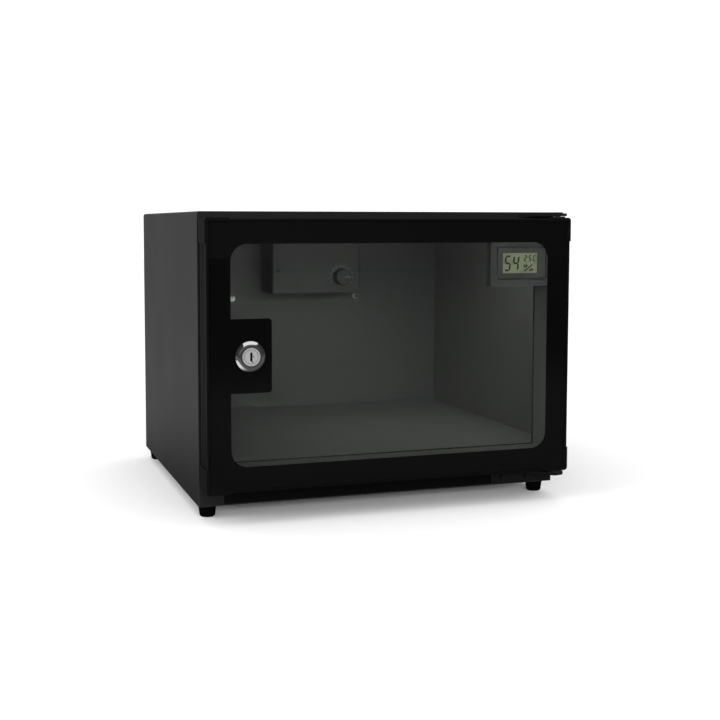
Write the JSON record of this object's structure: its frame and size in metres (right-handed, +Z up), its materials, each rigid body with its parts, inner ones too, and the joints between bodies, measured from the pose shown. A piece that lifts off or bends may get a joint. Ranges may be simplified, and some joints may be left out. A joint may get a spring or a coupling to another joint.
{
  "type": "desiccator cabinet",
  "caption": "Small dry cabinet with a folded metal case, a framed glass door on two pin hinges, a cam lock, a humidity gauge behind the glass and a desiccant dryer on its back wall.",
  "frame": {"origin": "under the middle of the cabinet's box, at the soles of the feet", "axes": "+X to the right along the door, +Y from the door to the back, +Z up"},
  "size_m": [0.33, 0.31, 0.258],
  "materials": {
    "case_paint": "satin powder coat",
    "hinge_paint": "satin",
    "steel": "zinc plated",
    "foot_rubber": "matte",
    "door_frame": "satin",
    "cap_plastic": "satin",
    "bearing_plastic": "smooth",
    "clear_glass": "polished",
    "border_print": "gloss",
    "seal_rubber": "matte",
    "magnet": "matte",
    "lock_chrome": "polished",
    "lock_nut_metal": "zinc plated",
    "gauge_grey": "satin",
    "holder_plastic": "smooth, pale",
    "display": "smooth",
    "dryer_plate_metal": "satin",
    "dryer_plastic": "satin",
    "cartridge_plastic": "satin",
    "heater_metal": "brushed",
    "board": "smooth",
    "black_plastic": "satin",
    "motor_metal": "plain",
    "pin_brass": "bright",
    "lead_cover": "smooth"
  },
  "bodies": {
    "cabinet": {"case_wrapper": "case_paint", "base_pan": "case_paint", "floor_panel": "case_paint", "back_panel": "case_paint", "strike_plate": "steel", "foot_front_left": "foot_rubber", "foot_front_right": "foot_rubber", "foot_rear_left": "foot_rubber", "foot_rear_right": "foot_rubber", "foot_screws": "steel", "upper_hinge_plate": "hinge_paint", "lower_hinge_bracket": "hinge_paint", "upper_hinge_pin": "steel", "lower_hinge_pin": "steel", "hinge_washer": "bearing_plastic", "upper_hinge_screws": "steel", "lower_hinge_screws": "steel", "dryer_plate": "dryer_plate_metal", "dryer_housing": "dryer_plastic", "dryer_screws": "steel", "cover_screws": "steel", "desiccant_cartridge": "cartridge_plastic", "heater_plate": "heater_metal", "control_board": "board", "board_screws": "steel", "potentiometer": "black_plastic", "flap_bracket": "steel", "flap_motor": "motor_metal", "rear_vent_cover": "case_paint", "vent_screws": "steel", "power_inlet": "black_plastic", "inlet_pins": "pin_brass", "power_leads": "lead_cover"},
    "door": {"frame_left": "door_frame", "frame_right": "door_frame", "frame_bottom": "door_frame", "frame_top": "door_frame", "corner_cap_top_left": "cap_plastic", "corner_cap_top_right": "cap_plastic", "corner_cap_bottom_left": "cap_plastic", "corner_cap_bottom_right": "cap_plastic", "hinge_bushes": "bearing_plastic", "glass_pane": "clear_glass", "glass_border": "border_print", "door_seal": "seal_rubber", "magnet_strips": "magnet", "lock_body": "lock_chrome", "lock_nut": "lock_nut_metal", "gauge_holder": "holder_plastic", "gauge_case": "gauge_grey", "gauge_display": "display", "gauge_cover": "gauge_grey", "button_cells": "steel"},
    "lock_core": {"lock_core": "lock_chrome", "lock_cam": "steel", "cam_screw": "steel"},
    "dial": {"dial_knob": "black_plastic", "dial_shaft": "steel"},
    "flap": {"air_flap": "black_plastic", "flap_shaft": "steel"}
  },
  "joints": [
    {"name": "door_swing", "type": "hinge", "parent": "cabinet", "child": "door", "pos_m": [0.157, -0.141, 0.14], "axis": [0, 0, 1], "range_deg": [0, 110]},
    {"name": "lock_turn", "type": "hinge", "parent": "door", "child": "lock_core", "pos_m": [-0.1279, -0.13, 0.14], "axis": [0, 1, 0], "range_deg": [0, 90]},
    {"name": "dial_turn", "type": "hinge", "parent": "cabinet", "child": "dial", "pos_m": [0.0353, 0.1, 0.1917], "axis": [0, 1, 0], "range_deg": [-240, 60]},
    {"name": "flap_swing", "type": "hinge", "parent": "cabinet", "child": "flap", "pos_m": [-0.013, 0.1409, 0.1815], "axis": [1, 0, 0], "range_deg": [0, 85]}
  ]
}
